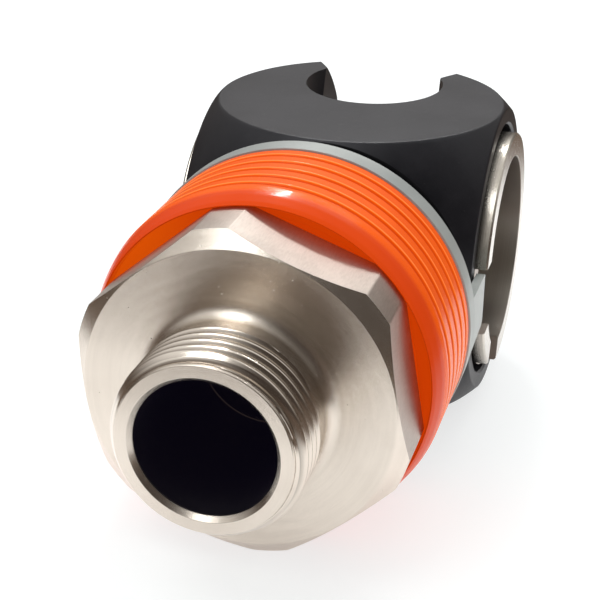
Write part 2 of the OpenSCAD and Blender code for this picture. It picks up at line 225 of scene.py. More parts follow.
class Paint(Graph):
    """A named finish on the Principled shader."""

    def __init__(self, name):
        self.material = bpy.data.materials.new(name)
        self.material.use_nodes = True
        super().__init__(self.material.node_tree)
        self.tree.nodes.clear()
        self.end = self.tree.nodes.new("ShaderNodeOutputMaterial")

    def place(self):
        """The point on the piece, in mm."""
        return self.scaled(self.node("ShaderNodeTexCoord", out=OBJECT_PLACE), 1.0 / MM)

    def noise(self, vector, scale, detail=2.0, rough=0.5):
        sockets = {"Vector": vector, "Scale": scale, "Detail": detail, "Roughness": rough}
        return self.node("ShaderNodeTexNoise", inputs=sockets)

    def bump(self, height, strength, distance=RELIEF):
        sockets = {"Height": height, "Strength": strength, "Distance": distance}
        return self.node("ShaderNodeBump", inputs=sockets)

    def vector(self, operation, a, b=None):
        inputs = {0: a} if b is None else {0: a, 1: b}
        return self.node("ShaderNodeVectorMath", {"operation": operation}, inputs)

    def combed(self, normal, along_mark, push):
        """The normal leant across the marks, which run along a direction given on the piece."""
        mark = self.node(
            "ShaderNodeVectorTransform",
            {"vector_type": "VECTOR", "convert_from": "OBJECT", "convert_to": "WORLD"},
            {"Vector": self.vector("NORMALIZE", along_mark)},
        )
        across = self.vector("NORMALIZE", self.vector("CROSS_PRODUCT", normal, mark))
        return self.vector("NORMALIZE", self.vector("ADD", normal, self.scaled(across, push)))

    def finish(self, **sockets):
        """Ends the tree in a Principled shader; base_color stands for its socket Base Color."""
        names = {k.replace("_", " ").title().replace("Ior", "IOR"): v for k, v in sockets.items()}
        shader = self.node("ShaderNodeBsdfPrincipled", inputs=names)
        self.tree.links.new(shader.socket, self.end.inputs[0])
        return self.material


def turned_metal(name, axis, light, dark, rough, marks, comb, bore=None, roots=None, recess=0.0):
    """Lathe-turned metal whose fine marks run round x (axis 0) or y (axis 1).

    It has painted shade in a bore (radius, depth), where it also has a faint painted glow and a
    painted highlight on the bore's ledge, in thread roots (their radius, the thread's end) and
    inside a recess (radius), where it is darker in its upper part and at its bottom.
    """
    p = Paint(name)
    at = p.place()
    x, y, z = p.axes(at)
    along = (x, y, z)[axis]
    a, b = [v for k, v in enumerate((x, y, z)) if k != axis]
    reach = (a * a + b * b) ** 0.5
    ringed = p.join(reach, along, 0.0)
    lines = p.noise(ringed, 5.5, 3.0, 0.65)
    broad = p.noise(ringed, 0.55, 2.0)
    cloud = p.noise(at, 0.07, 3.0)
    wear = p.noise(at, 0.9, 3.0, 0.6)
    fine = p.noise(at, 45.0, 0.0)
    tint = (lines * 0.35 + broad * 0.25 + cloud * 0.4).step(0.3, 0.7)
    colour = tint.blend(dark, light)
    roughness = (rough - 0.05) + lines * 0.07 + broad * 0.05 + wear.step(0.55, 0.8) * 0.05
    glow = p.join(0.0, 0.0, 0.0)
    if roots:
        # painted shade: the thread's roots are darker, except past the thread's end
        deep, start = roots
        shade = reach.step(deep, deep + 1.15, 0.55, 1.0)
        beyond = along.step(-start - 0.4, -start, 1.0, 0.0)
        colour = p.scaled(colour, shade.most(beyond))
    if recess:
        # painted shade on the recess wall, in its upper part and at its bottom
        within = reach.step(recess, recess + 0.2, 1.0, 0.0)
        shaded = z.step(*RECESS_UPPER) + z.step(*RECESS_LOWER, 0.7, 0.0)
        colour = (within * shaded).blend(colour, RECESS_PAINTED_SHADE)
        roughness = roughness + within * 0.16
    if bore:
        # painted shade inside the bore
        radius, depth = bore
        near_axis = reach.step(radius + 0.45, radius + 0.75, 1.0, 0.0)
        inside = near_axis * along.step(-depth - 0.4, -depth + 0.4)
        colour = inside.blend(colour, BORE_PAINTED_SHADE)
        roughness = roughness + inside * 0.15
        # a faint painted glow inside the bore, and a glowing painted highlight on its ledge
        edge = reach.step(radius + 0.7, radius + 0.8, 1.0, 0.0)
        ledge = abs(along + BORE_LEDGE).step(0.15, 0.3, 1.0, 0.0) * edge
        glow = ledge.blend(p.scaled(p.join(*BORE_GLOW), inside), LEDGE_GLOW)
    around = {0: p.join(0.0, z * -1.0, y), 1: p.join(z, 0.0, x * -1.0)}[axis]
    normal = p.bump(lines * 0.8 + wear * 0.15, marks, LATHE_RELIEF)
    return p.finish(
        base_color=colour,
        metallic=1.0,
        roughness=roughness,
        normal=p.combed(normal, around, (fine - 0.5) * comb),
        emission_color=glow,
        emission_strength=1.0,
    )


def milled_metal():
    """Plain milled flats, with straight fine marks along the hose axis."""
    p = Paint("milled stainless flats")
    at = p.place()
    x, y, z = p.axes(at)
    grain = p.noise(p.join(x * 5.0, y * 0.6, z * 5.0), 1.0, 3.0, 0.7)
    cloud = p.noise(at, 0.1, 3.0)
    nicks = p.noise(at, 1.3, 4.0, 0.7)
    tint = (grain * 0.5 + cloud * 0.5).step(0.3, 0.7)
    return p.finish(
        base_color=tint.blend((0.4, 0.35, 0.31), (0.54, 0.48, 0.43)),
        metallic=1.0,
        roughness=0.4 + grain * 0.1 + nicks.step(0.55, 0.8) * 0.08,
        normal=p.bump(grain + nicks * 0.2, 0.3),
    )


def anodised_black():
    """Hard-anodised, fine-blasted aluminium, with dust and rubbed spots."""
    p = Paint("black hard-anodised shell")
    at = p.place()
    grain = p.noise(at, 6.0, 3.0, 0.7)
    cloud = p.noise(at, 0.09, 4.0, 0.6)
    rubs = p.noise(at, 0.5, 5.0, 0.75)
    tint = (cloud * 0.6 + grain * 0.4).step(0.35, 0.68)
    dust = p.noise(at, 1.7, 3.0, 0.6).step(0.7, 0.78)
    black = tint.blend((0.003, 0.0028, 0.005), (0.0125, 0.0118, 0.0145))
    return p.finish(
        base_color=(dust * 0.5).blend(black, (0.06, 0.058, 0.055)),
        roughness=0.31 + grain * 0.1 + cloud * 0.14 - rubs.step(0.55, 0.75) * 0.08,
        normal=p.bump(grain, 0.3),
        specular_ior_level=0.3,
        specular_tint=(0.94, 0.95, 1.0, 1.0),
    )


def grip_orange():
    """Glossy moulded grip, duller and with painted shade in its grooves, a painted highlight along each
    groove's edge and a faint painted glow all over.
    """
    p = Paint("glossy orange grip")
    at = p.place()
    x, y, z = p.axes(at)
    reach = (x * x + z * z) ** 0.5
    low = reach.step(GRIP_R - 0.4, GRIP_R - 0.1, 1.0, 0.0)
    cloud = p.noise(at, 0.05, 3.0)
    peel = p.noise(at, 0.8, 2.0)
    speck = p.noise(at, 5.0, 2.0)
    patch = cloud.step(0.35, 0.65)
    along = 0.0 - y - GROOVE_FIRST
    ratio = along / GROOVE_PITCH
    off = along - ratio.sum("ROUND", ratio).most(0.0).least(GROOVE_LAST) * GROOVE_PITCH
    # painted highlight: a light line along the rear edge of each groove
    line = abs(off + GROOVE_HALF - 0.08).step(0.06, 0.22, 1.0, 0.0)
    crest = line * reach.step(GRIP_R - 0.35, GRIP_R - 0.15)
    # painted shade in the grooves
    groove_shaded = (low * 0.7).blend(patch.blend(ORANGE_LOW, ORANGE_HIGH), ORANGE_GROOVE_SHADE)
    # painted glow: stronger on the inner side, lit on one side and less lit on the other
    inner = reach.step(*INNER_R, 1.0, 0.0) * (0.0 - y).step(*INNER_PLACE)
    inner_glow = x.step(*INNER_TURN).blend(INNER_LIT, INNER_DIM)
    return p.finish(
        base_color=(crest * 0.8).blend(groove_shaded, ORANGE_EDGE_HIGHLIGHT),
        roughness=0.22 + speck * 0.08 + low * 0.05,
        specular_ior_level=0.1,
        specular_tint=(1.0, 0.5, 0.16, 1.0),
        coat_weight=0.09,
        coat_roughness=0.08,
        emission_color=inner.blend(patch.blend(GLOW_LOW, GLOW_HIGH), inner_glow),
        emission_strength=0.5,
        normal=p.bump(peel + speck * 0.2, 0.12),
    )


def collar_grey():
    """Light satin collar, turned and bead-blasted, with painted shade making it a little darker toward its
    top.
    """
    p = Paint("satin light grey collar")
    at = p.place()
    x, y, z = p.axes(at)
    reach = (x * x + z * z) ** 0.5
    lines = p.noise(p.join(reach, y, 0.0), 4.0, 2.0)
    grain = p.noise(at, 5.0, 2.0)
    cloud = p.noise(at, 0.08, 3.0)
    tint = (cloud * 0.7 + grain * 0.3).step(0.35, 0.65)
    grey = tint.blend((0.38, 0.405, 0.39), (0.46, 0.485, 0.465))
    # painted shade: the grey is darker toward the top
    return p.finish(
        base_color=p.scaled(grey, z.step(*COLLAR_TOP, *COLLAR_SHADE)),
        metallic=0.2,
        roughness=0.42 + grain * 0.1,
        normal=p.bump(lines * 0.6 + grain * 0.4, 0.22),
    )


def plain_finish(name, light, dark, rough, metal=0.0, grain_size=3.0, bump=0.2, sheen=0.5):
    """A finish with grain and cloud, for the small pieces."""
    p = Paint(name)
    at = p.place()
    grain = p.noise(at, grain_size, 3.0, 0.6)
    cloud = p.noise(at, 0.2, 3.0)
    return p.finish(
        base_color=(grain * 0.4 + cloud * 0.6).step(0.35, 0.65).blend(dark, light),
        metallic=metal,
        roughness=(rough - 0.05) + grain * 0.12,
        specular_ior_level=sheen,
        normal=p.bump(grain, bump),
    )


FINISH = {
    "nipple": turned_metal(
        "turned stainless round the hose axis",
        axis=1,
        light=STEEL_LIGHT,
        dark=STEEL_DARK,
        rough=0.22,
        marks=0.35,
        comb=1.3,
        bore=(BORE_R, NIPPLE_END - 1.0),
    ),
    "thread": turned_metal(
        "cut thread",
        axis=1,
        light=STEEL_LIGHT,
        dark=STEEL_DARK,
        rough=0.17,
        marks=0.25,
        comb=0.15,
        roots=(THREAD_ROOT_R + 0.1, NIPPLE_END - 1.6),
    ),
    "flats": milled_metal(),
    "drum": turned_metal(
        "turned stainless round the swing axis",
        axis=0,
        light=DRUM_LIGHT,
        dark=DRUM_DARK,
        rough=0.24,
        marks=0.15,
        comb=0.25,
        recess=RECESS_R + 0.1,
    ),
    "shell": anodised_black(),
    # a near-black, barely glossy finish put on the shell's front as painted shade
    "shade": plain_finish(
        "matte black boss", (0.005, 0.005, 0.006), (0.003, 0.003, 0.004), 0.6, sheen=0.12
    ),
    "grip": grip_orange(),
    "collar": collar_grey(),
    "dark": plain_finish(
        "phosphated spring steel", (0.09, 0.09, 0.095), (0.05, 0.05, 0.055), 0.42, metal=0.8
    ),
    "rubber": plain_finish(
        "black seal rubber", (0.022, 0.022, 0.023), (0.012, 0.012, 0.013), 0.55, grain_size=4.0, bump=0.3
    ),
    "white": plain_finish(
        "white seat plastic", (0.82, 0.81, 0.77), (0.74, 0.73, 0.69), 0.38, grain_size=2.0, bump=0.1
    ),
    "spring": plain_finish("bright spring steel", (0.62, 0.61, 0.6), (0.5, 0.49, 0.48), 0.22, metal=1.0),
    "bronze": plain_finish("bearing bronze", (0.5, 0.37, 0.19), (0.38, 0.27, 0.13), 0.35, metal=0.9),
}
CARRIED_OVER = {
    "nipple": ["neck_tube"],
    "dark": ["neck_set_screw", "circlip_left", "circlip_right", "stop_ring"],
    "white": ["seat_ring"],
    "bronze": ["bush_left", "bush_right"],
    "spring": ["seat_washers", "ball_row_front", "ball_row_rear", "ball_plugs", "guide_keys"],
    "rubber": [
        "neck_oring",
        "seat_oring",
        "drum_oring_left",
        "drum_oring_right",
        "socket_seal",
        "swivel_oring_front",
        "swivel_oring_rear",
        "wiper_ring",
        "drag_ring",
    ],
}


def wear_finish(obj, finish):
    """Gives the whole piece one finish."""
    obj.data.materials.clear()
    obj.data.materials.append(FINISH[finish])


def second_finish(obj, finish, chosen):
    """Gives another finish to the faces that a test on their centre, in mm, and normal picks."""
    obj.data.materials.append(FINISH[finish])
    for face in obj.data.polygons:
        if chosen(*(c / MM for c in face.center), face.normal):
            face.material_index = 1


for finish, node_names in CARRIED_OVER.items():
    for node_name in node_names:
        wear_finish(nodes[node_name], finish)


# ---------------------------------------------------------------- shapes


def make_object(name, verts, faces, smooth=SMOOTH_UNDER):
    """A mesh object from points in mm."""
    mesh = bpy.data.meshes.new(name)
    mesh.from_pydata([tuple(c * MM for c in v) for v in verts], [], faces)
    obj = bpy.data.objects.new(name, mesh)
    bpy.context.scene.collection.objects.link(obj)
    tidy_mesh(obj, smooth)
    return obj


def tidy_mesh(obj, smooth=SMOOTH_UNDER, merge=WELD):
    """Welds points, turns faces outwards and keeps edges sharp over the given angle."""
    work = bmesh.new()
    work.from_mesh(obj.data)
    bmesh.ops.remove_doubles(work, verts=work.verts, dist=merge * MM)
    bmesh.ops.dissolve_degenerate(work, edges=work.edges, dist=merge * MM)
    bmesh.ops.recalc_face_normals(work, faces=work.faces)
    for face in work.faces:
        face.smooth = True
    limit = math.radians(smooth)
    for edge in work.edges:
        edge.smooth = not (len(edge.link_faces) == 2 and edge.calc_face_angle(0.0) > limit)
    work.to_mesh(obj.data)
    work.free()


def eased(points, arc=5):
    """Rounds the corners of a closed outline of (a, b, radius) points."""
    out = []
    count = len(points)
    for k, (a, b, radius) in enumerate(points):
        here = np.array((a, b), float)
        if radius <= 0:
            out.append((a, b))
            continue
        before = np.array(points[k - 1][:2], float) - here
        after = np.array(points[(k + 1) % count][:2], float) - here
        lb, la = np.linalg.norm(before), np.linalg.norm(after)
        ub, ua = before / lb, after / la
        turn = math.acos(max(-1, min(1, float(ub @ ua))))
        run = min(radius / math.tan(turn / 2), 0.49 * lb, 0.49 * la)
        radius = run * math.tan(turn / 2)
        middle = here + (ub + ua) / np.linalg.norm(ub + ua) * radius / math.sin(turn / 2)
        start, end = here + ub * run - middle, here + ua * run - middle
        side = np.sign(start[0] * end[1] - start[1] * end[0])
        for t in range(arc + 1):
            angle = side * (math.pi - turn) * t / arc
            c, s = math.cos(angle), math.sin(angle)
            spun = np.array((c * start[0] - s * start[1], s * start[0] + c * start[1]))
            out.append(tuple(middle + spun))
    return out


def lathe(name, outline, axis="Y", steps=ROUND, smooth=SMOOTH_UNDER):
    """Turns a closed outline of (radius, place) round the hose axis (place forwards) or the swing axis."""
    verts, faces = [], []
    n = len(outline)
    for k in range(steps):
        t = 2 * math.pi * k / steps
        c, s = math.cos(t), math.sin(t)
        for r, d in outline:
            verts.append((r * c, -d, r * s) if axis == "Y" else (d, r * c, r * s))
    for k in range(steps):
        j = (k + 1) % steps
        for i in range(n):
            i2 = (i + 1) % n
            faces.append((k * n + i, k * n + i2, j * n + i2, j * n + i))
    return make_object(name, verts, faces, smooth)


def settle(obj):
    """Turns an object's modifiers into its mesh."""
    graph = bpy.context.evaluated_depsgraph_get()
    graph.update()
    mesh = bpy.data.meshes.new_from_object(obj.evaluated_get(graph))
    obj.modifiers.clear()
    obj.data = mesh
    return obj


def carve(obj, tools, operation="DIFFERENCE"):
    """Applies exact booleans of the tools to obj and removes the tools."""
    for tool in tools:
        change = obj.modifiers.new("cut", "BOOLEAN")
        change.operation, change.solver, change.object = operation, "EXACT", tool
    settle(obj)
    for tool in tools:
        bpy.data.objects.remove(tool, do_unlink=True)
    return obj


def soften(obj, width):
    """Breaks sharp edges by a small bevel, then evens the shading of the flats."""
    tidy_mesh(obj, SMOOTH_UNDER, SOFTEN_WELD)
    work = bmesh.new()
    work.from_mesh(obj.data)
    bmesh.ops.dissolve_limit(work, angle_limit=math.radians(FLAT_UNDER), verts=work.verts, edges=work.edges)
    work.to_mesh(obj.data)
    work.free()
    bevel = obj.modifiers.new("broken edge", "BEVEL")
    bevel.width, bevel.segments = width * MM, 2
    bevel.limit_method, bevel.angle_limit = "ANGLE", math.radians(BEVEL_OVER)
    bevel.use_clamp_overlap = True
    bevel.miter_outer = "MITER_ARC"
    settle(obj)
    for face in obj.data.polygons:
        face.use_smooth = True
    weigh = obj.modifiers.new("even", "WEIGHTED_NORMAL")
    weigh.weight, weigh.keep_sharp = 60, True
    return settle(obj)


class Works(Graph):
    """A geometry node tree with named sizes, which is run on a mesh object."""

    def __init__(self, name, **sizes):
        super().__init__(bpy.data.node_groups.new(name, "GeometryNodeTree"))
        self.sizes = sizes
        face = self.tree.interface
        face.new_socket("Geometry", in_out="INPUT", socket_type="NodeSocketGeometry")
        self.keys = {}
        for label, value in sizes.items():
            kind = "NodeSocketInt" if isinstance(value, int) else "NodeSocketFloat"
            self.keys[label] = face.new_socket(label, in_out="INPUT", socket_type=kind).identifier
        face.new_socket("Geometry", in_out="OUTPUT", socket_type="NodeSocketGeometry")
        self.start = self.tree.nodes.new("NodeGroupInput")
        self.end = self.tree.nodes.new("NodeGroupOutput")

    def size(self, label):
        return Wire(self, self.start.outputs[label])

    def point(self):
        """The point on the mesh, in mm, as x, y and z."""
        return self.axes(self.scaled(self.node("GeometryNodeInputPosition"), 1.0 / MM))

    def run(self, obj, geometry, finish):
        """Ends the tree, runs it on obj and leaves a plain mesh."""
        real = self.node("GeometryNodeRealizeInstances", inputs={"Geometry": geometry})
        done = self.node("GeometryNodeSetMaterial", inputs={"Geometry": real, "Material": FINISH[finish]})
        self.tree.links.new(done.socket, self.end.inputs[0])
        modifier = obj.modifiers.new(self.tree.name, "NODES")
        modifier.node_group = self.tree
        for label, key in self.keys.items():
            modifier[key] = self.sizes[label]
        return settle(obj)


def ball_cube(name):
    """The shell's outside: a cube whose corners are turned to a ball, in six round patches.

    Each flat ends a little short of the ball, which leaves a narrow eased edge.
    """
    angles = [math.tau * k / ROUND for k in range(ROUND)]
    ease = 0.2
    edge = math.asin(FLAT_R / BALL_R)
    rings = [("flat", FLAT_R * 0.5), ("flat", FLAT_R - ease)] + [("ball", t / 8) for t in range(9)]
    verts, faces = [], []
    for axis in range(3):
        for sign in (1, -1):
            u, v = (axis + 1) % 3, (axis + 2) % 3
            start = len(verts)
            centre = [0.0, 0.0, 0.0]
            centre[axis] = sign * HALF
            verts.append(tuple(centre))
            for kind, value in rings:
                for a in angles:
                    c, s = math.cos(a), math.sin(a)
                    p = [0.0, 0.0, 0.0]
                    if kind == "flat":
                        p[axis], p[u], p[v] = sign * HALF, value * c, value * s
                    else:
                        last = math.atan(1.0 / max(abs(c), abs(s)))
                        low = edge + ease / BALL_R
                        tilt = low + (last - low) * value if last > low else last
                        p[axis] = sign * BALL_R * math.cos(tilt)
                        p[u], p[v] = BALL_R * math.sin(tilt) * c, BALL_R * math.sin(tilt) * s
                    verts.append(tuple(p))
            m = len(angles)
            for k in range(m):
                j = (k + 1) % m
                faces.append((start, start + 1 + k, start + 1 + j))
                for q in range(len(rings) - 1):
                    a0, b0 = start + 1 + q * m, start + 1 + (q + 1) * m
                    faces.append((a0 + k, b0 + k, b0 + j, a0 + j))
    return make_object(name, verts, faces)


def drum_turn(obj, angle):
    """Turns a tool's mesh round the swing axis."""
    obj.data.transform(Matrix.Rotation(angle, 4, "X"))
    return obj


def box_tool(name, low, high):
    verts = [(x, y, z) for x in (low[0], high[0]) for y in (low[1], high[1]) for z in (low[2], high[2])]
    faces = [(0, 1, 3, 2), (4, 6, 7, 5), (0, 4, 5, 1), (2, 3, 7, 6), (0, 2, 6, 4), (1, 5, 7, 3)]
    return make_object(name, verts, faces)


def post_tool(name, r, low, high):
    """A solid round tool along +Z."""
    post = lathe(name, [(0.0, low), (r, low), (r, high), (0.0, high)], steps=TOOL_ROUND)
    return drum_turn(post, math.radians(-90))


def slot_tool():
    """The slot round the back: a bevelled profile swept from the hose's line up to the mouth."""
    half, reach, steps = SLOT_HALF, SLOT_BEVEL_REACH, 72
    side = [(5, half), (SLOT_BEVEL_R, half), (SLOT_BEVEL_R + reach, half + reach)]
    profile = [(r, -x) for r, x in side] + side[::-1]
    verts, faces = [], []
    n = len(profile)
    for k in range(steps + 1):
        c, s = math.cos(SWING * k / steps), math.sin(SWING * k / steps)
        verts += [(x, r * c, r * s) for r, x in profile]
    for k in range(steps):
        for i in range(n):
            i2 = (i + 1) % n
            faces.append((k * n + i, k * n + i2, (k + 1) * n + i2, (k + 1) * n + i))
    faces += [tuple(range(n)), tuple(steps * n + i for i in reversed(range(n)))]
    return make_object("slot tool", verts, faces)


def build_shell():
    """Housing with its front boss, side openings, mouth and the slot that leads to it."""
    shell = ball_cube("shell_body")
    boss = [(0, BOSS_ROOT), (BOSS_R, BOSS_ROOT), (BOSS_R, BOSS_FRONT - BOSS_EDGE)]
    boss += [(BOSS_R - BOSS_EDGE, BOSS_FRONT), (0, BOSS_FRONT)]
    carve(shell, [lathe("boss", boss, steps=160)], "UNION")
    wide = OPENING_R + OPENING_FLARE
    side = [(0, PAST), (wide, PAST), (wide, HALF), (OPENING_R, HALF - OPENING_FLARE)]
    clip_in, clip_out = CLIP_GROOVE
    side += [(OPENING_R, clip_out), (CLIP_R, clip_out), (CLIP_R, clip_in), (OPENING_R, clip_in)]
    side += [(OPENING_R, OPENING_IN), (DRUM_WAY_R, OPENING_IN)]
    bore = lathe("side bore", side + [(r, -x) for r, x in side[::-1]], "X")
    front = [(0, SEAT_IN), (SEAT_R, SEAT_IN), (SEAT_R, NECK_IN)]
    front += [(NECK_R, NECK_IN), (NECK_R, NECK_OUT), (0, NECK_OUT)]
    mouth = drum_turn(post_tool("mouth", MOUTH_R, 0, MOUTH_REACH), SWING - math.pi / 2)
    end = drum_turn(post_tool("slot end", SLOT_HALF, 0, MOUTH_REACH), -math.pi / 2)
    carve(shell, [bore, lathe("front bore", front, steps=TOOL_ROUND), mouth, slot_tool(), end])
    soften(shell, 0.2)
    wear_finish(shell, "shell")

    # painted shade: the front flat and boss get the near-black shade finish
    def in_front(x, y, z, _):
        return y < -29.7 and math.hypot(x, z) < FLAT_R + 0.3

    second_finish(shell, "shade", in_front)
    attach(shell, "body")
    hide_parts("shell")


def build_drum():
    """Drum with an open recess at each end, notches in both rims, its way and its socket."""
    half_profile = [
        (0.0, RECESS_FLOOR, 0),
        (RECESS_R, RECESS_FLOOR, 0.8),
        (RECESS_R, DRUM_HALF - 0.15, 0),
        (RECESS_R + 0.15, DRUM_HALF, 0),
        (DRUM_R - 0.35, DRUM_HALF, 0),
        (DRUM_R, DRUM_HALF - 0.35, 0.1),
        (DRUM_R, DRUM_SHOULDER, 0.05),
        (DRUM_MID_R, DRUM_SHOULDER, 0.2),
    ]
    right = eased(half_profile)
    drum = lathe("drum_body", right + [(a, -b) for a, b in right[::-1]], "X", FINE_ROUND)
    tools = []
    near, far = NOTCH_ACROSS
    for side in (1, -1):
        for turn, (low, high) in ((0.0, NOTCH_FRONT), (SWING, NOTCH_SWUNG)):
            x0, x1 = sorted((side * (DRUM_HALF - NOTCH_DEEP), side * (DRUM_HALF + 3)))
            tools.append(drum_turn(box_tool("notch", (x0, near, low), (x1, far, high)), turn))
    for name, r, start in (("way", BORE_R, -PAST), ("socket", SOCKET_R, SOCKET_FLOOR)):
        tools.append(drum_turn(post_tool(name, r, start, PAST), SWING - math.pi / 2))
    carve(drum, tools)
    soften(drum, 0.15)
    wear_finish(drum, "drum")

    def in_notch(x, y, z, _):
        within_rim = RECESS_R + 0.2 < math.hypot(y, z) < DRUM_R - 0.2
        return within_rim and DRUM_HALF - NOTCH_DEEP - 0.2 < abs(x) < DRUM_HALF - 0.3

    second_finish(drum, "flats", in_notch)
    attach(drum, "drum")
    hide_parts("drum")


def build_nipple():
    """Hexagon, dished face, neck and spigot in one turned and milled piece."""
    outline = [
        (BORE_REAR_R, BORE_LEDGE, 0),
        (BORE_REAR_R, TAIL_END, 0.3),
        (TAIL_R, TAIL_END, 0.5),
        (TAIL_R, HEX_REAR, 0.2),
        (HEX_OUT - 0.2, HEX_REAR - 0.5, 0.1),
        (HEX_OUT, HEX_REAR - 0.3, 0.1),
        (HEX_OUT, HEX_SHOULDER, 0.12),
        (FACE_R, HEX_FRONT, 0.12),
        (SPIGOT_R + 0.1, HEX_FRONT - 0.1, 2.3),
        (SPIGOT_R, SPIGOT_END, 0.3),
        (CORE_R, SPIGOT_END + 0.4, 0),
        (CORE_R, NIPPLE_END - 0.5, 0),
        (END_R[1], NIPPLE_END, 0.15),
        (END_R[0], NIPPLE_END, 0.12),
        (BORE_R, NIPPLE_END - 0.9, 0.1),
        (BORE_R, BORE_LEDGE, 0),
    ]
    body = lathe("nipple_body", eased(outline), steps=256)
    corner = HEX_IN / math.cos(math.radians(30))
    verts = []
    for y in (-120, -60):
        for k in range(6):
            a = HEX_TURN + math.radians(30 + 60 * k)
            verts.append((corner * math.cos(a), y, corner * math.sin(a)))
    faces = [tuple(range(6)), tuple(range(11, 5, -1))]
    faces += [(k, (k + 1) % 6, 6 + (k + 1) % 6, 6 + k) for k in range(6)]
    prism = make_object("hexagon", verts, faces)
    tail_r, tail = TAIL_R + 0.05, (30, 62)
    tail_outline = [(0, tail[0]), (tail_r, tail[0]), (tail_r, tail[1]), (0, tail[1])]
    carve(prism, [lathe("tail", tail_outline, steps=64)], "UNION")
    carve(body, [prism], "INTERSECT")
    soften(body, 0.16)
    wear_finish(body, "nipple")

    def on_hexagon(x, y, z, normal):
        return abs(normal.y) < 0.2 and math.hypot(x, z) > 25.0

    second_finish(body, "flats", on_hexagon)
    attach(body, "nipple")
    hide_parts("hose_nipple")


def build_thread():
    """The nipple's thread: a grid whose rows follow the helix, closed by its inner wall."""
    (low, high), per, steps = THREAD_PLACE, 16, 180
    g = Works(
        "thread rolled round the nipple",
        Pitch=PITCH,
        Crest=THREAD_R,
        Root=THREAD_ROOT_R,
        Inside=THREAD_INSIDE_R,
        Low=low,
        High=high,
        Rows=per * (int((high - low) / PITCH) + 3),
        Round=steps,
    )
    counts = {"Vertices X": g.size("Rows") + 2, "Vertices Y": g.size("Round") + 1}
    grid = g.node("GeometryNodeMeshGrid", inputs={"Size X": 1.0, "Size Y": 1.0, **counts})
    across, round_, _ = g.axes(g.node("GeometryNodeInputPosition"))
    row = (across + 0.5) * (g.size("Rows") + 1)
    turn = round_ + 0.5
    pitch, root, crest = g.size("Pitch"), g.size("Root"), g.size("Crest")
    first, last = g.size("Low"), g.size("High")
    course = first - pitch + pitch * (row / per + turn)
    place = course.least(last).most(first)
    ratio = row / per
    phase = ratio.sum("FRACT", ratio)
    # the flank rises from a root an eighth of the pitch wide to a crest as wide, and bulges a little
    flank = ((abs(phase - 0.5) * 2 - 0.125) / 0.75).least(1.0).most(0.0)
    flank = 1.0 - (1.0 - flank) ** 1.9
    fade = ((place - first) / 0.7).least(1.0)
    chamfer = END_R[1] + (NIPPLE_END - 0.05 - place) * 0.78
    bulk = (root + (crest - root) * flank * fade).least(chamfer).most(root)
    within = (course - first).step(0.0, 0.001) * (last - course).step(0.0, 0.001)
    within = within * (g.size("Rows") + 0.5 - row).step(0.0, 0.001)
    closing = (row - g.size("Rows") - 0.5).step(0.0, 0.001)
    radius = g.size("Inside") + (bulk - g.size("Inside")) * within
    y = place + (first - place) * closing
    angle = turn * math.tau
    spot = g.join(radius * angle.sum("COSINE", angle), y * -1.0, radius * angle.sum("SINE", angle))
    moved = g.node("GeometryNodeSetPosition", inputs={"Geometry": grid, "Position": g.scaled(spot, MM)})
    welded = g.node("GeometryNodeMergeByDistance", inputs={"Geometry": moved, "Distance": WELD * MM})
    thread = make_object("nipple_thread", [], [])
    g.run(thread, welded, "thread")
    tidy_mesh(thread, 40.0)
    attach(thread, "nipple")


def build_collar():
    """Band, the tube under the grip, and a tongue on each side."""
    outline = [
        (COLLAR_BORE_R, COLLAR_TUBE_END, 0.2),
        (COLLAR_BORE_R, COLLAR_REAR, 0.3),
        (COLLAR_R, COLLAR_REAR, 0.22),
        (COLLAR_R, COLLAR_FRONT, 0.15),
        (COLLAR_TUBE_R, COLLAR_FRONT, 0),
        (COLLAR_TUBE_R, COLLAR_TUBE_END - COLLAR_STEP, 0.1),
        (COLLAR_STEP_R, COLLAR_TUBE_END - COLLAR_STEP, 0.1),
        (COLLAR_STEP_R, COLLAR_TUBE_END, 0.2),
    ]
    ring = lathe("collar_ring", eased(outline), steps=FINE_ROUND)
    tongue = eased(TONGUE_OUTLINE)
    n = len(tongue)
    for s in (1, -1):
        verts = [(s * x, y, z) for x in (TONGUE_IN, TONGUE_OUT) for y, z in tongue]
        faces = [tuple(range(n)), tuple(range(2 * n - 1, n - 1, -1))]
        faces += [(i, (i + 1) % n, n + (i + 1) % n, n + i) for i in range(n)]
        carve(ring, [make_object("tongue", verts, faces)], "UNION")
    soften(ring, 0.2)
    wear_finish(ring, "collar")
    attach(ring, "collar")
    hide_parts("lock_collar")


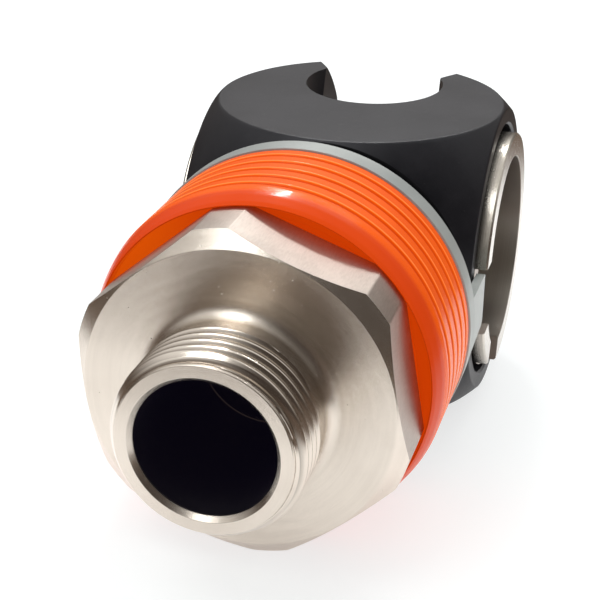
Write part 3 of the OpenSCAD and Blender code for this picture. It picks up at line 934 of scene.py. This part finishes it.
def build_grip():
    """The grip is turned plain, and its fine grooves are then pressed in."""
    outline = [(COLLAR_TUBE_R, COLLAR_FRONT, 0), (GRIP_R - 0.1, COLLAR_FRONT, 0.25)]
    outline += [(GRIP_R, COLLAR_FRONT + 0.7, 0.5)]
    for k in range(GROOVE_LAST + 1):
        middle = GROOVE_FIRST + k * GROOVE_PITCH
        outline += [(GRIP_R, middle + GROOVE_HALF * t / 8, 0) for t in range(-9, 10)]
    outline += [
        (GRIP_R, 64.3, 0.9),
        (GRIP_R - 0.5, 66.8, 5.0),
        (GRIP_R - 1.15, 68.7, 2.0),
        (GRIP_R - 1.5, 69.4, 0.4),
        (30.8, GRIP_FRONT, 0.15),
        (30.55, 69.35, 0.2),
        (30.55, 67.3, 0.4),
        (27.1, COLLAR_TUBE_END, 0.2),
        (COLLAR_STEP_R, COLLAR_TUBE_END, 0.1),
        (COLLAR_STEP_R, COLLAR_TUBE_END - COLLAR_STEP, 0.1),
        (COLLAR_TUBE_R, COLLAR_TUBE_END - COLLAR_STEP, 0.1),
    ]
    grip = lathe("grip_sleeve_look", eased(outline, arc=6), steps=FINE_ROUND, smooth=50.0)
    g = Works(
        "grooves pressed round the grip",
        First=GROOVE_FIRST,
        Pitch=GROOVE_PITCH,
        Last=GROOVE_LAST,
        Half=GROOVE_HALF,
        Depth=GROOVE_DEEP,
        Outside=GRIP_R,
    )
    x, y, z = g.point()
    reach = (x * x + z * z) ** 0.5
    along = 0.0 - y - g.size("First")
    ratio = along / g.size("Pitch")
    nearest = ratio.sum("ROUND", ratio).most(0.0).least(g.size("Last"))
    off = abs(along - nearest * g.size("Pitch")) / g.size("Half")
    cut = off.step(0.12, 1.0, 1.0, 0.0) * g.size("Depth") * (reach - g.size("Outside")).step(-0.3, -0.1)
    shift = g.scaled(g.join(x, 0.0, z), cut / reach * -MM)
    turned = Wire(g, g.start.outputs[0])
    moved = g.node("GeometryNodeSetPosition", inputs={"Geometry": turned, "Offset": shift})
    g.run(grip, moved, "grip")
    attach(grip, "collar")
    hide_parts("grip_sleeve")


build_shell()
build_drum()
build_nipple()
build_thread()
build_collar()
build_grip()


# ---------------------------------------------------------------- floor, light and camera

# how much the floor shines for the camera and for metal, and the room's light on dull surfaces
FLOOR_LIFT, METAL_LIFT, ROOM_LEVEL = 0.7, 0.38, 0.8
# metal sees the floor turn dark between two distances, in mm, from a point under the object
DARK_FROM, DARK_CENTRE, DARK_FLOOR = (145.0, 205.0), (-20.0, -15.0), (0.12, 0.075, 0.047)
FLOOR_LOW, FLOOR_HIGH, FLOOR_SEEN = (0.84, 0.84, 0.84), (0.88, 0.88, 0.88), (0.325, 0.35, 0.35)
WALL_FRONT, WALL_BACK, CEILING = (0.1, 0.066, 0.046), (0.15, 0.125, 0.105), (1.0, 0.985, 0.96)
DIM_WAY, DIM_RANGE, DIM_END = (0.6, -0.62, 0.5), (0.55, 0.93), (0.06, 0.045, 0.036)
LIT_POINT = (0, -0.03, 0)
# the camera's place in metres and its own right and back directions
CAMERA_PLACE = (0.0701, -0.2896, 0.1177)
CAMERA_RIGHT, CAMERA_BACK = (0.960, 0.280, 0.013), (0.250, -0.877, 0.410)
CAMERA_LENS, CAMERA_SENSOR = 89.33, 36.0


def pale_floor():
    """A pale floor that keeps the shadow and runs to white where nothing shades it."""
    bpy.ops.mesh.primitive_plane_add(size=6.0, location=(0, 0, -COLLAR_R * MM))
    floor = bpy.context.object
    floor.name = "pale_floor"
    p = Paint("pale floor")
    at = p.place()
    speck = p.noise(at, 0.02)
    path = p.outs(p.node("ShaderNodeLightPath"))
    seen, metal = path[CAMERA_RAY].most(path[TRANSMITTED_RAY]), path[GLOSSY_RAY]
    white = speck.blend(FLOOR_LOW, FLOOR_HIGH)
    x, y, _ = p.axes(at)
    off_x, off_y = x - DARK_CENTRE[0], y - DARK_CENTRE[1]
    far = ((off_x * off_x + off_y * off_y) ** 0.5).step(*DARK_FROM)
    mirrored = (far * metal).blend(white, DARK_FLOOR)
    colour = seen.blend(mirrored, FLOOR_SEEN)
    lit = p.node("ShaderNodeBsdfPrincipled", inputs={"Base Color": colour, "Roughness": 0.8})
    lift = seen * FLOOR_LIFT + metal * (1.0 - far) * METAL_LIFT
    glow = p.node("ShaderNodeEmission", inputs={"Color": p.join(lift, lift, lift), "Strength": 1.0})
    shown = p.node("ShaderNodeAddShader", inputs={0: lit, 1: glow})
    p.tree.links.new(shown.socket, p.end.inputs[0])
    floor.data.materials.append(p.material)


def white_room():
    """White behind the object; metal also finds the room's dim end in front on the right."""
    world = bpy.data.worlds.new("soft studio")
    bpy.context.scene.world = world
    world.use_nodes = True
    g = Graph(world.node_tree)
    g.tree.nodes.clear()
    way = g.node("ShaderNodeTexCoord")
    _, deep, height = g.axes(way)
    walls = deep.step(-0.1, 0.8).blend(WALL_FRONT, WALL_BACK)
    dim = g.dot(way, DIM_WAY).step(*DIM_RANGE)
    room = dim.blend(height.step(0.0, 0.74).blend(walls, CEILING), DIM_END)
    path = g.outs(g.node("ShaderNodeLightPath"))
    plain = path[DIFFUSE_RAY].blend((1.0, 1.0, 1.0), (ROOM_LEVEL, ROOM_LEVEL, ROOM_LEVEL))
    colour = path[GLOSSY_RAY].blend(plain, room)
    back = g.node("ShaderNodeBackground", inputs={"Color": colour, "Strength": 1.0})
    out = g.tree.nodes.new("ShaderNodeOutputWorld")
    g.tree.links.new(back.socket, out.inputs[0])


def softbox(name, place, size, watts):
    """A white area lamp turned toward the object."""
    light = bpy.data.lights.new(name, "AREA")
    light.shape, light.size, light.size_y = "RECTANGLE", size[0], size[1]
    light.energy = watts
    obj = bpy.data.objects.new(name, light)
    bpy.context.scene.collection.objects.link(obj)
    obj.location = Vector(place)
    obj.rotation_euler = (Vector(LIT_POINT) - obj.location).to_track_quat("-Z", "Y").to_euler()


def camera_at(place, right, back):
    """The camera as it stood for the photograph, from its own right and back directions."""
    camera = bpy.data.cameras.new("camera")
    camera.lens, camera.sensor_width = CAMERA_LENS, CAMERA_SENSOR
    camera.clip_start, camera.clip_end = 0.01, 20.0
    obj = bpy.data.objects.new("camera", camera)
    bpy.context.scene.collection.objects.link(obj)
    back = Vector(back).normalized()
    right = Vector(right)
    right = (right - back * right.dot(back)).normalized()
    turn = Matrix((right, back.cross(right), back)).transposed().to_4x4()
    obj.matrix_world = Matrix.Translation(place) @ turn
    bpy.context.scene.camera = obj


bpy.context.scene.view_settings.view_transform = "Standard"
pale_floor()
white_room()
softbox("overhead", (-0.17, -0.26, 0.58), (0.3, 0.3), 1.1)
softbox("back strip", (0.02, 0.42, 0.45), (0.42, 0.012), 0.8)
softbox("back lamp", (-0.11, 0.36, 0.47), (0.08, 0.018), 0.75)
camera_at(CAMERA_PLACE, CAMERA_RIGHT, CAMERA_BACK)
